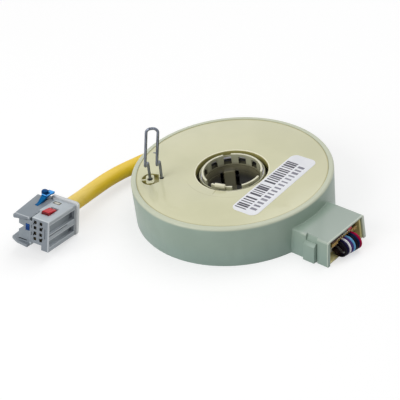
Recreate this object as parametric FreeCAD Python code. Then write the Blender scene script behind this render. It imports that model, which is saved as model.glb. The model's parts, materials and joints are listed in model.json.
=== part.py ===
import FreeCAD, Part
import math
import os
from FreeCAD import Placement, Rotation, Vector

# Steering column angle sensor: a flat ring that the shaft passes through. Millimetres.
# Origin on the shaft axis in the plane of the base, +Z up the shaft, +X along the side box.

# Housing ring
housing_radius = 43.0
housing_height = 18.5
housing_wall = 2.2
housing_draft = 0.3
rim_round = 1.0
foot_round = 0.5
ledge_depth = 1.5
ledge_height = 1.6
part_gap = 0.1

# Cover and its lock socket
cover_thickness = 2.3
cover_below_rim = 0.15
cover_bore_radius = 15.4
cover_edge_round = 0.45
cover_skirt_wall = 1.2
cover_skirt_drop = 1.4
socket_angle = 224.3
socket_depth = 1.5
socket_half_width = 4.5
socket_inner_half_width = 2.9
socket_inside_post = 3.7
socket_outside_post = 3.7
post_length = 3.5
post_half_width = 3.2
post_rib = 0.8

# Lock pin
pin_wire_radius = 0.6
pin_from_wall = 8.3
pin_leg_spacing = 4.9
pin_crank_above_cover = 8.45
pin_crank_side = 3.3
pin_crank_out = 1.2
pin_crank_bend = 0.8
pin_lean = 2.6
pin_above_cover = 27.25
barb_above_crank = 6.2
barb_length = 1.7
barb_radius = 0.35
barb_angle = 221.0
pin_leg_clearance = 0.08
pin_hole_mouth = 0.35
pin_above_flange = 0.9

# Base plate
base_thickness = 2.0
support_count = 6
support_inset = 3.0
support_radius = 1.6
peg_radius = 0.9
peg_height = 0.6

# Rotor: sleeve that grips the output shaft
shaft_radius = 11.0
sleeve_wall = 1.8
sleeve_bottom = 0.4
sleeve_band = 2.8
journal_gap = 0.08
axial_gap = 0.3
flange_thickness = 1.0
flange_inset = 7.3
target_thickness = 0.8
target_inner_radius = 18.0
target_hub_width = 2.6
target_margin = 0.8
output_lobes = 10
input_lobes = 6
finger_span_angle = 32.7
finger_slot = 1.65
finger_bottom = 3.2
finger_relief = 0.45
key_relief = 0.2
key_angle = 139.5
band_relief = 0.85

# Rotor: ring that follows the input shaft
ring_bore_radius = 12.1
ring_wall = 0.8
ring_above_cover = 0.1
ring_seam = 5.0
collar_gap = 0.55
collar_wall = 0.5
collar_below_ring = 1.25
collar_hoop = 1.7
skirt_wall = 2.1
ring_room = 5.85
groove_rise = 1.4
window_count = 12
window_start = 20.0
window_width = 3.4
window_sill = 0.6
window_lintel = 1.4
open_places = (0, 4, 8, 10)
wide_place = 10
wide_width = 4.1
stop_width = 3.0
stop_reach = 1.3
stop_play_angle = 5.0
stop_angle = 51.0
index_angle = 288.0
index_width = 4.4
index_height = 1.3
spring_height = 0.6
spring_width = 0.35
spring_gap = 0.7

# Circuit board
board_below_ring = 3.4
board_thickness = 1.2
board_inner_radius = 16.6
board_edge_gap = 0.7
tongue_half_width = 8.3
tongue_inset = 0.8
scallop_radius = 0.35
mouth_chips = ((-3.8, 6.0, 1.2), (1.3, 1.8, 0.9), (4.4, 2.0, 1.3))
mouth_chip_length = 1.8

# Side box
box_reach = 59.4
box_below_rim = 7.0
box_half_bottom = 12.8
box_half_top = 11.8
box_wall = 1.4
box_edge_round = 0.8
box_root_round = 0.4
liner_wall = 1.0
liner_floor = 1.2
liner_below_box = 1.7
liner_length = 14.9
liner_short = 0.8
tab_inset = 6.3
tab_length = 5.6
tab_below_box = 3.1
tab_proud = 1.1
tab_slit = 0.6
tab_slit_below_box = 1.9
pocket_floor_inset = 0.6
pocket_top_inset = 1.3

# Jumper wires at the mouth of the box
wire_names = (
    "wire_black", "wire_navy", "wire_white", "wire_violet",
    "wire_light_blue", "wire_black_second", "wire_navy_second", "wire_crimson",
)
wire_radius = 0.52
wire_pitch = 1.13
wire_first = -4.3
wire_beyond_box = 3.3
wire_fan = 0.22
wire_floor_gap = 0.2
wire_board_gap = 0.05
wire_run = 3.6
wire_end_run = 1.2
comb_length = 4.5
comb_height = 2.2
solder_radius = 0.6
solder_height = 0.3

# Label
label_length = 46.0
label_width = 12.4
label_corner = 3.0
label_thickness = 0.15
label_angle = 93.8
label_from_edge = 20.85
label_across = 1.4

# Cable from the outlet in the housing wall to the connector; each place is the
# distance beyond the wall, then y and z
cable_radius = 3.4
cable_places = (
    (5.00, 9.40, 5.80),
    (8.40, -4.40, 5.95),
    (10.70, -18.40, 6.60),
    (10.30, -31.20, 7.00),
    (7.54, -43.88, 8.92),
    (5.68, -52.51, 10.69),
)
cable_fit = 0.05
outlet_radius = 4.4
outlet_length = 5.6
outlet_back = 4.5
outlet_reach = 8.0
outlet_passage = 2.5
outlet_round = 1.6
grommet_wall = 0.5
grommet_flange = 1.2

# Connector, in its own frame: +X right, +Y towards the cable, +Z up, 0 at its lower right front corner
connector_yaw_angle = 11.2
connector_bank_angle = 4.7
connector_pitch_angle = 11.4
connector_width = 9.6
connector_height = 14.1
connector_length = 19.4
connector_belly = 2.2
rail_width = 3.5
wall_left = 15.2
wall_set_back = 0.4
plate_thickness = 1.1
plate_drop = 0.75
plate_lean = 2.6
upper_tip = (16.8, -1.9)
upper_reach = 19.3
lower_tip = (19.0, 1.2)
lower_lip = (15.2, -0.8)
lower_front = -1.7
lower_reach = 20.6
step_width = 1.35
step_length = 7.0
step_depth = 2.2
split_mouth = (5.9, 9.0)
split_tip = (7.9, 8.4)
split_end = 12.3
cavity_rows = 4
cavity_columns = 2
cavity_row_pitch = 2.54
cavity_column_pitch = 2.85
cavity_width = 1.5
cavity_height = 1.7
cavity_corner = 0.45
cavity_depth = 9.0
cavity_right = 4.0
cavity_low = 4.3
keyway_width = 0.6
keyway_drop = 0.5
keyway_depth = 1.5
front_slot_width = 0.4
front_slot_depth = 3.0
contact_wall = 0.2
contact_gap = 0.16
contact_set_back = 1.0
side_channels = ((2.1, 5.2), (8.1, 12.2))
side_channel_depth = 1.0
side_channel_ends = (0.7, 0.6)
side_pocket_start = 16.1
side_pocket_end = 18.5
side_pocket_depth = 2.0
side_slit = (7.1, 7.55)
side_slit_reach = 13.7
mark_left = 8.95
mark_right = 5.5
mark_front = 15.2
mark_length = 2.3
mark_line = 0.5
mark_depth = 0.35
back_gap = 0.6
back_thickness = 1.4
back_margin = 0.8
back_width = 13.6
back_corner = 1.4
boot_radius = 4.0
boot_length = 1.8
cable_entry_x = -6.1
cable_entry_z = 9.9
button_width = 3.6
button_length = 5.6
button_right = 3.4
button_front = 4.6
button_front_rise = 1.25
button_back_rise = 0.6
button_travel = 2.0
button_sunk = 1.15
slide_gap = 0.1
lever_middle = -13.8
lever_width = 1.5
lever_pivot_y = 11.3
lever_pivot_radius = 0.6
lever_length = 8.0
lever_thickness = 0.9
lever_rise = 1.9
lever_sunk = 1.8
knob_radius = 1.5
knob_height = 2.2
lock_left = 11.75
lock_width = 1.9
lock_height = 3.0
lock_middle = 8.35
lock_depth = 6.0

# Heights and radii that follow from the sizes above
inner_radius = housing_radius - housing_wall
ledge_radius = inner_radius - ledge_depth
cover_top = housing_height - cover_below_rim
cover_bottom = cover_top - cover_thickness
disc_radius = inner_radius - part_gap
support_circle = ledge_radius - support_inset
flange_radius = ledge_radius - flange_inset
ring_foot = cover_bottom - ring_room
sleeve_top = ring_foot + sleeve_band
finger_top = ring_foot
sleeve_outer = shaft_radius + sleeve_wall
journal_radius = sleeve_outer + journal_gap
skirt_radius = journal_radius + skirt_wall
output_flange_bottom = base_thickness + axial_gap
input_flange_top = ring_foot + flange_thickness
board_bottom = ring_foot - board_below_ring
board_top = board_bottom + board_thickness
board_radius = ledge_radius - board_edge_gap
box_top = housing_height - box_below_rim
liner_top = box_top - liner_below_box
tab_top = box_top - tab_below_box
tab_slit_top = box_top - tab_slit_below_box
box_slope = (box_half_bottom - box_half_top) / box_top
pin_foot = input_flange_top + pin_above_flange
pin_outer_leg = housing_radius - pin_from_wall
pin_crank_height = cover_top + pin_crank_above_cover
pin_top = cover_top + pin_above_cover
barb_height = pin_crank_height + barb_above_crank
pin_inner_leg = pin_outer_leg - pin_leg_spacing
pin_hole_radius = pin_wire_radius + pin_leg_clearance
window_step = 360.0 / window_count
ring_outer_radius = ring_bore_radius + ring_wall
ring_top = cover_top + ring_above_cover
groove_bottom = sleeve_top + groove_rise
window_bottom = sleeve_top + window_sill
window_top = ring_top - window_lintel
collar_top = ring_top - collar_below_ring
collar_inner = ring_outer_radius + collar_gap
collar_outer = collar_inner + collar_wall
tongue_end = box_reach - tongue_inset
liner_start = box_reach - liner_length
tab_end = box_reach - tab_inset
tab_start = tab_end - tab_length
label_middle = Vector(housing_radius - label_from_edge, label_across, 0)
wire_reach = box_reach + wire_beyond_box
wire_high = board_bottom + board_thickness / 2
wire_low = wire_radius + wire_floor_gap
wire_bend = (wire_high - wire_low) / 2
comb_front = wire_reach - wire_radius - wire_bend - wire_run
cable_route = [Vector(-housing_radius - beyond, y, z) for beyond, y, z in cable_places]
plate_top = connector_height - plate_drop
lever_floor = connector_height - lever_sunk
back_front = connector_length + back_gap
back_rear = back_front + back_thickness


def polar(radius, degrees, z=0.0):
    turn = math.radians(degrees)
    return Vector(radius * math.cos(turn), radius * math.sin(turn), z)


def block(x_low, x_high, y_low, y_high, z_low, z_high):
    corner = Vector(x_low, y_low, z_low)
    return Part.makeBox(x_high - x_low, y_high - y_low, z_high - z_low, corner)


def disc(radius, z_low, z_high, x=0.0, y=0.0):
    return Part.makeCylinder(radius, z_high - z_low, Vector(x, y, z_low))


def ring(inner, outer, z_low, z_high):
    return disc(outer, z_low, z_high).cut(disc(inner, z_low - 1, z_high + 1))


def turned(profile):
    corners = [Vector(r, 0, z) for r, z in profile]
    face = Part.Face(Part.makePolygon(corners + corners[:1]))
    return face.revolve(Vector(0, 0, 0), Vector(0, 0, 1), 360)


def prism(corners, sweep):
    return Part.Face(Part.makePolygon(list(corners) + [corners[0]])).extrude(sweep)


def spun(shape, degrees):
    copy = shape.copy()
    copy.rotate(Vector(0, 0, 0), Vector(0, 0, 1), degrees)
    return copy


def mirrored(shape):
    return shape.mirror(Vector(0, 0, 0), Vector(0, 1, 0))


def sector(outer, degrees, z_low, z_high, middle):
    wedge = Part.makeCylinder(outer, z_high - z_low, Vector(0, 0, z_low), Vector(0, 0, 1), degrees)
    return spun(wedge, middle - degrees / 2)


def joined(first, *others):
    return first.fuse(list(others)).removeSplitter()


def rounded(shape, radius, wanted):
    return shape.makeFillet(radius, [edge for edge in shape.Edges if wanted(edge)])


def chamfered(shape, size, wanted):
    return shape.makeChamfer(size, [edge for edge in shape.Edges if wanted(edge)])


def circle_at(edge, radius, z):
    if not isinstance(edge.Curve, Part.Circle):
        return False
    return abs(edge.Curve.Radius - radius) < 0.01 and abs(edge.Curve.Center.z - z) < 0.01


def along(edge, axis):
    if not isinstance(edge.Curve, Part.Line):
        return False
    return abs(abs(edge.tangentAt(edge.FirstParameter).dot(axis)) - 1) < 1e-4


def rod(points, radius, bend):
    """Round bar along straight runs joined by tangent arcs; bend gives each corner's radius."""
    start = points[0]
    heading = (points[1] - points[0]).normalize()
    circle = Part.makeCircle(radius, start, heading)
    end_face = Part.Face(Part.Wire(circle))
    pieces = []
    for i in range(1, len(points)):
        corner = points[i]
        last = i == len(points) - 1
        if last:
            run = corner - start
            pieces.append(end_face.extrude(run))
            break
        onward = (points[i + 1] - corner).normalize()
        turn = heading.getAngle(onward)
        corner_radius = bend(i, turn)
        trim = corner_radius * math.tan(turn / 2)
        run = corner - heading * trim - start
        if run.Length > 1e-6:
            pieces.append(end_face.extrude(run))
        end_face = end_face.copy()
        end_face.translate(run)
        axis = heading.cross(onward).normalize()
        centre = corner - heading * trim + axis.cross(heading) * corner_radius
        pieces.append(end_face.revolve(centre, axis, math.degrees(turn)))
        end_face.rotate(centre, axis, math.degrees(turn))
        start = corner + onward * trim
        heading = onward
    return pieces[0].fuse(pieces[1:]) if len(pieces) > 1 else pieces[0]


def place(shape):
    """From the connector's own frame to its place at the end of the cable."""
    turn = Rotation(connector_yaw_angle, connector_bank_angle, -connector_pitch_angle)
    entry = turn.multVec(Vector(cable_entry_x, back_rear + part_gap, cable_entry_z))
    moved = shape.copy()
    moved.Placement = Placement(cable_route[-1] - entry, turn)
    return moved


def box_side(z, inset):
    return box_half_bottom - box_slope * z - inset


def box_prism(z_low, z_high, inset, x_start, x_end):
    corners = [
        Vector(x_start, -box_side(z_low, inset), z_low),
        Vector(x_start, box_side(z_low, inset), z_low),
        Vector(x_start, box_side(z_high, inset), z_high),
        Vector(x_start, -box_side(z_high, inset), z_high),
    ]
    return prism(corners, Vector(x_end - x_start, 0, 0))


def outlet_frame():
    end = cable_route[0]
    heading = (end - cable_route[1]).normalize()
    yaw = math.degrees(math.atan2(heading.y, heading.x))
    pitch = -math.degrees(math.asin(heading.z))
    return Placement(end, Rotation(yaw, pitch, 0))


def at_outlet(shape):
    moved = shape.copy()
    moved.Placement = outlet_frame()
    return moved


def bar_x(radius, start, end):
    return Part.makeCylinder(radius, end - start, Vector(start, 0, 0), Vector(1, 0, 0))


def snap_tab():
    side = [(-box_side(z, 0), z) for z in (0, tab_top)]
    corners = [
        Vector(tab_start, side[0][0] + tab_proud / 2, 0),
        Vector(tab_start, side[0][0] - tab_proud, 0),
        Vector(tab_start, side[1][0] - tab_proud, tab_top - tab_proud),
        Vector(tab_start, side[1][0], tab_top),
        Vector(tab_start, side[1][0] + tab_proud / 2, tab_top),
    ]
    return prism(corners, Vector(tab_end - tab_start, 0, 0))


def make_housing():
    foot = housing_radius - housing_draft
    body = turned([(0, 0), (foot, 0), (housing_radius, housing_height - rim_round),
                   (housing_radius, housing_height), (0, housing_height)])
    box = box_prism(0, box_top, 0, inner_radius - ledge_depth, box_reach)
    box = rounded(box, box_edge_round, lambda e: along(e, Vector(1, 0, 0)) and e.CenterOfMass.z > 1)
    body = joined(body, box)
    body = rounded(body, box_root_round, at_box_root)
    body = rounded(body, rim_round, lambda e: circle_at(e, housing_radius, housing_height))
    duct = bar_x(outlet_radius, -outlet_length, outlet_back)
    duct = joined(duct, block(-outlet_length, outlet_back, -outlet_reach, 0, -outlet_radius, outlet_radius))
    duct = rounded(duct, outlet_round, lambda e: at_duct_end(e) and e.CenterOfMass.y > -outlet_reach + 1)
    body = body.fuse(at_outlet(duct))
    tabs = [snap_tab(), mirrored(snap_tab())]
    body = body.fuse(tabs)
    cavity = turned([
        (0, -1), (inner_radius, -1), (inner_radius, base_thickness), (ledge_radius, base_thickness),
        (ledge_radius, base_thickness + ledge_height), (inner_radius, base_thickness + 2 * ledge_height),
        (inner_radius, cover_bottom - 2 * ledge_height), (ledge_radius, cover_bottom - ledge_height),
        (ledge_radius, cover_bottom), (inner_radius, cover_bottom), (inner_radius, housing_height + 1),
        (0, housing_height + 1),
    ])
    tunnel = box_prism(-1, box_top - box_wall, box_wall, ledge_radius - 3, box_reach + 1)
    bore = bar_x(cable_radius + cable_fit + grommet_wall, -outlet_length - 1, part_gap)
    passage = block(-outlet_passage, outlet_passage, -outlet_reach - 1, 0, -outlet_passage, outlet_passage)
    body = body.cut([cavity, tunnel, at_outlet(bore.fuse(passage))])
    slit = block(tab_end + 0.2, tab_end + 0.2 + tab_slit, -box_half_bottom - 1,
                 -box_side(tab_slit_top, box_wall / 2), -1, tab_slit_top)
    pocket_low = tab_top + 0.3
    outside = -box_half_bottom - 1
    pocket = prism([Vector(tab_start + tab_slit, outside, pocket_low),
                    Vector(tab_start + tab_slit, -box_side(pocket_low, pocket_floor_inset), pocket_low),
                    Vector(tab_start + tab_slit, -box_side(box_top, pocket_top_inset), box_top + 0.1),
                    Vector(tab_start + tab_slit, outside, box_top + 0.1)], Vector(tab_length, 0, 0))
    return body.cut([slit, mirrored(slit), pocket]).removeSplitter()


def at_duct_end(edge):
    box = edge.BoundBox
    return box.XMax - box.XMin < 0.01 and abs(edge.CenterOfMass.x - outlet_back) < 0.01


def at_box_root(edge):
    middle = edge.valueAt((edge.FirstParameter + edge.LastParameter) / 2)
    distance = math.hypot(middle.x, middle.y)
    near_wall = abs(distance - housing_radius) < housing_draft + 0.2 and middle.x > 0
    in_box = abs(middle.y) < box_half_bottom + 0.5 and 0.5 < middle.z < box_top + 0.5
    return near_wall and in_box and not edge.Closed


def make_cover():
    skirt_outer = cover_bore_radius + cover_skirt_wall
    cover = turned([(cover_bore_radius, cover_bottom - cover_skirt_drop),
                    (skirt_outer, cover_bottom - cover_skirt_drop), (skirt_outer, cover_bottom),
                    (disc_radius, cover_bottom), (disc_radius, cover_top),
                    (cover_bore_radius, cover_top)])
    cover = rounded(cover, cover_edge_round, lambda e: circle_at(e, cover_bore_radius, cover_top))
    guides = [disc(pin_hole_radius + 1.2, pin_foot, cover_bottom + 0.5, r)
              for r in (pin_outer_leg, pin_inner_leg)]
    floor = cover_top - socket_depth
    corners = (Vector(pin_outer_leg, socket_half_width, floor),
               Vector(pin_outer_leg + socket_outside_post, 0, floor),
               Vector(pin_outer_leg, -socket_half_width, floor),
               Vector(pin_outer_leg - socket_inside_post, -socket_inner_half_width, floor),
               Vector(pin_outer_leg - socket_inside_post, socket_inner_half_width, floor))
    arc = Part.Arc(corners[0], corners[1], corners[2]).toShape()
    rim = Part.Wire([arc, Part.makeLine(corners[2], corners[3]), Part.makeLine(corners[3], corners[4]),
                     Part.makeLine(corners[4], corners[0])])
    recess = Part.Face(rim).extrude(Vector(0, 0, socket_depth + 1))
    post = block(pin_outer_leg - post_length / 2, pin_outer_leg + post_length / 2,
                 -post_half_width, post_half_width, floor - 0.2, cover_top + 1)
    post = rounded(post, post_length / 3, lambda e: along(e, Vector(0, 0, 1)))
    rib = block(pin_outer_leg, pin_outer_leg + socket_outside_post + 1,
                -post_rib / 2, post_rib / 2, floor - 0.2, cover_top + 1)
    holes = []
    for r in (pin_outer_leg, pin_inner_leg):
        holes.append(disc(pin_hole_radius, pin_foot - 1, cover_top + 1, r))
        holes.append(Part.makeCone(pin_hole_radius, pin_hole_radius + pin_hole_mouth + 0.1,
                                   pin_hole_mouth + 0.1, Vector(r, 0, cover_top - pin_hole_mouth)))
    cover = cover.fuse([spun(guide, socket_angle) for guide in guides])
    cover = cover.cut(spun(recess.cut([post, rib]), socket_angle))
    return cover.cut([spun(hole, socket_angle) for hole in holes]).removeSplitter()


def make_base_plate():
    plate = ring(journal_radius, disc_radius, 0, base_thickness)
    tray = box_prism(0, liner_top, box_wall + part_gap, liner_start, box_reach - liner_short)
    tray = tray.cut(box_prism(liner_floor, liner_top + 1, box_wall + part_gap + liner_wall,
                              liner_start - 1, box_reach + 1))
    floor = box_prism(0, liner_floor, box_wall + part_gap, ledge_radius - 2, box_reach - liner_short)
    wires_low = wire_first - wire_pitch
    wires_high = wire_first + len(wire_names) * wire_pitch
    gap = block(comb_front, box_reach + 1, wires_low, wires_high, -1, liner_floor + 1)
    rest = block(liner_start + 1, liner_start + 1 + liner_wall, -box_side(board_bottom, box_wall + 0.5),
                 box_side(board_bottom, box_wall + 0.5), 0.5, board_bottom)
    supports = []
    for k in range(support_count):
        spot = polar(support_circle, (k + 0.5) * 360 / support_count)
        supports.append(disc(support_radius, base_thickness - 0.5, board_bottom, spot.x, spot.y))
        supports.append(disc(peg_radius, base_thickness - 0.5, board_top + peg_height, spot.x, spot.y))
    return plate.fuse([tray, floor, rest] + supports).cut(gap).removeSplitter()


def make_circuit_board():
    board = ring(board_inner_radius, board_radius, board_bottom, board_top)
    tongue = block(board_inner_radius + 5, tongue_end, -tongue_half_width, tongue_half_width,
                   board_bottom, board_top)
    cuts = []
    before = int((tongue_half_width + wire_first) / wire_pitch)
    after = int((tongue_half_width - wire_first) / wire_pitch)
    for k in range(-before, after + 1):
        cuts.append(disc(scallop_radius, board_bottom - 1, board_top + 1, tongue_end, wire_y(k)))
    for k in range(support_count):
        spot = polar(support_circle, (k + 0.5) * 360 / support_count)
        cuts.append(disc(peg_radius + part_gap, board_bottom - 1, board_top + 1, spot.x, spot.y))
    return board.fuse(tongue).cut(cuts).removeSplitter()


def make_board_chips():
    middle = (flange_radius + 0.8 + board_radius) / 2
    depth = board_radius - flange_radius - 2.0
    chips = []
    for k in range(support_count):
        angle = (k + 1) * 360 / support_count
        if k == support_count - 1:
            continue
        width = 6.0 if k % 2 else 4.0
        chip = block(middle - depth / 2, middle + depth / 2, -width / 2, width / 2,
                     board_top, board_top + 1.1)
        chips.append(spun(chip, angle))
        small = block(middle - 0.8, middle + 0.8, -0.4, 0.4, board_top, board_top + 0.6)
        chips += [spun(small, angle + 9), spun(small, angle - 9)]
    for y, width, height in mouth_chips:
        x = tongue_end - 2 * (scallop_radius + solder_radius) - mouth_chip_length
        chips.append(block(x, x + mouth_chip_length, y - width / 2, y + width / 2,
                           board_top, board_top + height))
    return Part.makeCompound(chips)


def make_output_sleeve():
    sleeve = ring(shaft_radius, sleeve_outer, sleeve_bottom, sleeve_top)
    flange = ring(sleeve_outer - 0.5, flange_radius, output_flange_bottom,
                  output_flange_bottom + flange_thickness)
    stop_low = ring_foot + 1.4
    lug = block(sleeve_outer - 0.5, sleeve_outer + stop_reach, -stop_width / 2, stop_width / 2,
                stop_low, sleeve_top - 0.2)
    sleeve = sleeve.fuse([flange, spun(lug, stop_angle), spun(lug, stop_angle + 180)])
    relief = ring(shaft_radius - 1, shaft_radius + finger_relief, finger_bottom, finger_top)
    relief = relief.cut(sector(sleeve_outer, finger_span_angle, finger_bottom - 1, finger_top + 1, key_angle))
    key = ring(shaft_radius - 1, shaft_radius + key_relief, finger_bottom, finger_top)
    band = ring(shaft_radius - 1, shaft_radius + band_relief, finger_top, sleeve_top + 1)
    slot = block(shaft_radius - 1, sleeve_outer + 0.2, -finger_slot / 2, finger_slot / 2,
                 finger_bottom, finger_top)
    slots = [spun(slot, finger + side * finger_span_angle / 2)
             for finger in (key_angle, key_angle + 180) for side in (-1, 1)]
    return sleeve.cut([relief, key, band] + slots).removeSplitter()


def make_target(z_low, lobes, turn):
    outer = flange_radius - target_margin
    plate = ring(target_inner_radius, outer, z_low, z_low + target_thickness)
    hub = ring(target_inner_radius - 1, target_inner_radius + target_hub_width,
               z_low - 1, z_low + target_thickness + 1)
    step = 360 / lobes
    gaps = [sector(outer + 1, step / 2, z_low - 1, z_low + target_thickness + 1, turn + k * step)
            for k in range(lobes)]
    gap = gaps[0].fuse(gaps[1:]) if lobes > 1 else gaps[0]
    return plate.cut(gap.cut(hub).cut(disc(target_inner_radius + 0.1, z_low - 1, z_low + 3)))


def make_input_ring():
    body = turned([
        (ring_bore_radius, sleeve_top + 0.2), (journal_radius, sleeve_top + 0.2),
        (journal_radius, ring_foot), (flange_radius, ring_foot),
        (flange_radius, input_flange_top), (skirt_radius, input_flange_top),
        (skirt_radius, sleeve_top + 0.4), (collar_outer, groove_bottom - 0.4),
        (collar_outer, collar_top), (collar_inner, collar_top), (collar_inner, groove_bottom),
        (ring_outer_radius, groove_bottom), (ring_outer_radius, ring_top), (ring_bore_radius, ring_top),
    ])
    cuts = []
    for k in range(window_count):
        half = (wide_width if k == wide_place else window_width) / 2
        top = ring_top + 1 if k in open_places else window_top
        window = block(ring_bore_radius - 1, ring_outer_radius + 0.1, -half, half, window_bottom, top)
        port = block(ring_bore_radius, collar_outer + 0.5, -half, half,
                     window_bottom, collar_top - collar_hoop)
        cuts += [spun(window, window_start + k * window_step), spun(port, window_start + k * window_step)]
    room = math.degrees(stop_width / sleeve_outer) + 2 * (stop_play_angle + 1.0)
    stop = sector(sleeve_outer + stop_reach + 0.3, room, ring_foot - 1, sleeve_top + 0.1, stop_angle)
    cuts += [stop, spun(stop, 180)]
    index = block(ring_bore_radius + 0.1, collar_inner, -index_width / 2, index_width / 2,
                  collar_top + 0.3, ring_top + index_height)
    index = chamfered(index, 0.4, lambda e: along(e, Vector(0, 1, 0)) and e.CenterOfMass.z > ring_top)
    return spun(body, ring_seam).cut(cuts).fuse(spun(index, index_angle)).removeSplitter()


def make_grip_spring():
    inner = ring_outer_radius + part_gap
    outer = inner + spring_width
    low = groove_bottom + axial_gap
    high = low + spring_height + spring_gap
    turn = ring(inner, outer, low, low + spring_height)
    second = ring(inner, outer, high, high + spring_height)
    link = ring(inner, outer, low, high + spring_height).common(
        sector(outer + 1, 12, low, high + spring_height, window_start + 4.5 * window_step))
    return joined(turn, second, link)


def make_lock_pin():
    top = pin_top - pin_wire_radius
    half = pin_leg_spacing / 2 - 0.4
    out, side = pin_crank_out, pin_crank_side
    outer, inner = pin_outer_leg, pin_inner_leg
    points = [
        Vector(outer, 0, pin_foot), Vector(outer, 0, pin_crank_height),
        Vector(outer + out, side, pin_crank_height), Vector(outer + out - pin_lean, side, top),
        Vector(inner + out - pin_lean, side, top), Vector(inner + out, side, pin_crank_height),
        Vector(inner, 0, pin_crank_height), Vector(inner, 0, pin_foot),
    ]
    loop_corners = (3, 4)
    bend = lambda i, turn: half if i in loop_corners else pin_crank_bend
    pin = spun(rod(points, pin_wire_radius, bend), socket_angle)
    climb = (barb_height - pin_crank_height) / (top - pin_crank_height)
    root = spun(disc(0.1, 0, 1, inner + out - pin_lean * climb, side), socket_angle).CenterOfMass
    heading = polar(1, barb_angle, 0.15)
    root.z = barb_height
    barb = Part.makeCone(barb_radius, barb_radius / 3, barb_length, root, heading)
    return pin.fuse(barb).removeSplitter()


def make_label():
    half_long, half_wide = label_length / 2, label_width / 2
    plate = block(-half_long, half_long, -half_wide, half_wide, cover_top, cover_top + label_thickness)
    plate = rounded(plate, label_corner, lambda e: along(e, Vector(0, 0, 1)))
    plate = spun(plate, label_angle)
    plate.translate(label_middle)
    return plate


def wire_y(k):
    return wire_first + k * wire_pitch


def make_wire(k):
    y = wire_y(k)
    turn_x = wire_reach - wire_radius - wire_bend + k * wire_fan
    high, low = wire_high, wire_low
    end_z = liner_floor + comb_height / 2
    far = turn_x + wire_bend
    points = [Vector(tongue_end + wire_board_gap, y, high), Vector(far, y, high), Vector(far, y, low),
              Vector(turn_x - 1.5 * wire_radius, y, low), Vector(comb_front + wire_end_run, y, end_z),
              Vector(comb_front, y, end_z)]
    radii = {1: wire_bend, 2: wire_bend, 3: wire_radius * 3, 4: wire_radius * 2}
    return rod(points, wire_radius, lambda i, turn: radii[i])


def make_wire_comb():
    y_low = wire_y(0) - wire_pitch
    y_high = wire_y(len(wire_names) - 1) + wire_pitch
    comb = block(comb_front - comb_length, comb_front, y_low, y_high, liner_floor, liner_floor + comb_height)
    grooves = [block(comb_front - comb_length - 1, comb_front - 1, wire_y(k) - 0.4, wire_y(k) + 0.4,
                     liner_floor + comb_height / 2, liner_floor + comb_height + 1)
               for k in range(len(wire_names))]
    return comb.cut(grooves)


def make_solder_joints():
    x = tongue_end - scallop_radius - solder_radius
    below = solder_radius - solder_height
    beads = []
    for k in range(len(wire_names)):
        bead = Part.makeSphere(solder_radius, Vector(x, wire_y(k), board_top - below))
        beads.append(bead.cut(block(x - 2, x + 2, wire_y(k) - 2, wire_y(k) + 2, board_bottom - 1, board_top)))
    return Part.makeCompound(beads)


def make_cable():
    def bend(i, turn):
        before = (cable_route[i] - cable_route[i - 1]).Length
        after = (cable_route[i + 1] - cable_route[i]).Length
        radius = 0.45 * min(before, after) / math.tan(turn / 2)
        lengths.append(radius * turn - 2 * radius * math.tan(turn / 2))
        print("cable bend %d: radius %.1f, turn %.1f degrees" % (i, radius, math.degrees(turn)))
        return radius
    lengths = []
    cable = rod(list(cable_route), cable_radius, bend)
    runs = sum((cable_route[i + 1] - cable_route[i]).Length for i in range(len(cable_route) - 1))
    length = runs + sum(lengths)
    print("cable length %.2f, volume %.1f, section times length %.1f"
          % (length, cable.Volume, math.pi * cable_radius ** 2 * length))
    return cable


def make_grommet():
    inner = cable_radius + cable_fit
    outer = inner + grommet_wall - cable_fit
    flange_back = -outlet_length - grommet_flange
    bush = bar_x(outer, -outlet_length, 0).fuse(bar_x(outlet_radius, flange_back, -outlet_length))
    return at_outlet(bush.cut(bar_x(inner, flange_back - 1, 1)))


def upper_outline(z):
    right = -connector_width + 0.1
    tip_x, tip_y = upper_tip
    return [Vector(right, 0, z), Vector(-tip_x + 0.8, tip_y - 0.3, z), Vector(-tip_x, tip_y + 0.3, z),
            Vector(-upper_reach, connector_length, z), Vector(right, connector_length, z)]


def lower_outline(z):
    right = -connector_width + 0.1
    return [Vector(right, lower_front, z), Vector(-lower_lip[0], lower_lip[1], z),
            Vector(-lower_tip[0], lower_tip[1], z), Vector(-lower_reach, connector_length, z),
            Vector(right, connector_length, z)]


def cavity_spots():
    for column in range(cavity_columns):
        x = -cavity_right - column * cavity_column_pitch
        for row in range(cavity_rows):
            yield x, cavity_low + row * cavity_row_pitch, column, row


def cavity_cuts():
    for x, z, column, row in cavity_spots():
        half_wide, half_high = cavity_width / 2, cavity_height / 2
        hole = block(x - half_wide, x + half_wide, -1, cavity_depth, z - half_high, z + half_high)
        yield rounded(hole, cavity_corner, lambda e: along(e, Vector(0, 1, 0)))
        if row % 2 == 1 - column:
            continue
        side = 1 if column == 0 else -1
        key_x = x + side * half_wide
        key_z = z + side * half_high
        yield block(key_x - keyway_width / 2, key_x + keyway_width / 2, -1, keyway_depth,
                    key_z - keyway_drop, key_z + keyway_drop)


def front_cuts():
    line = -cavity_right + cavity_width + front_slot_width
    yield block(line, line + front_slot_width, -1, front_slot_depth, cavity_low + 1.2, connector_height - 3.8)
    left = -cavity_right - cavity_column_pitch - cavity_width - front_slot_width
    for z in (cavity_low + 1.1, cavity_low + 4.5):
        yield block(left, left + front_slot_width, -1, front_slot_depth, z, z + cavity_height)
    for z in (plate_thickness + 1.0, plate_top - plate_thickness - 0.5):
        yield block(-wall_left + 0.8, -wall_left + 3.3, -1, front_slot_depth, z - 0.22, z + 0.22)


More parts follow.
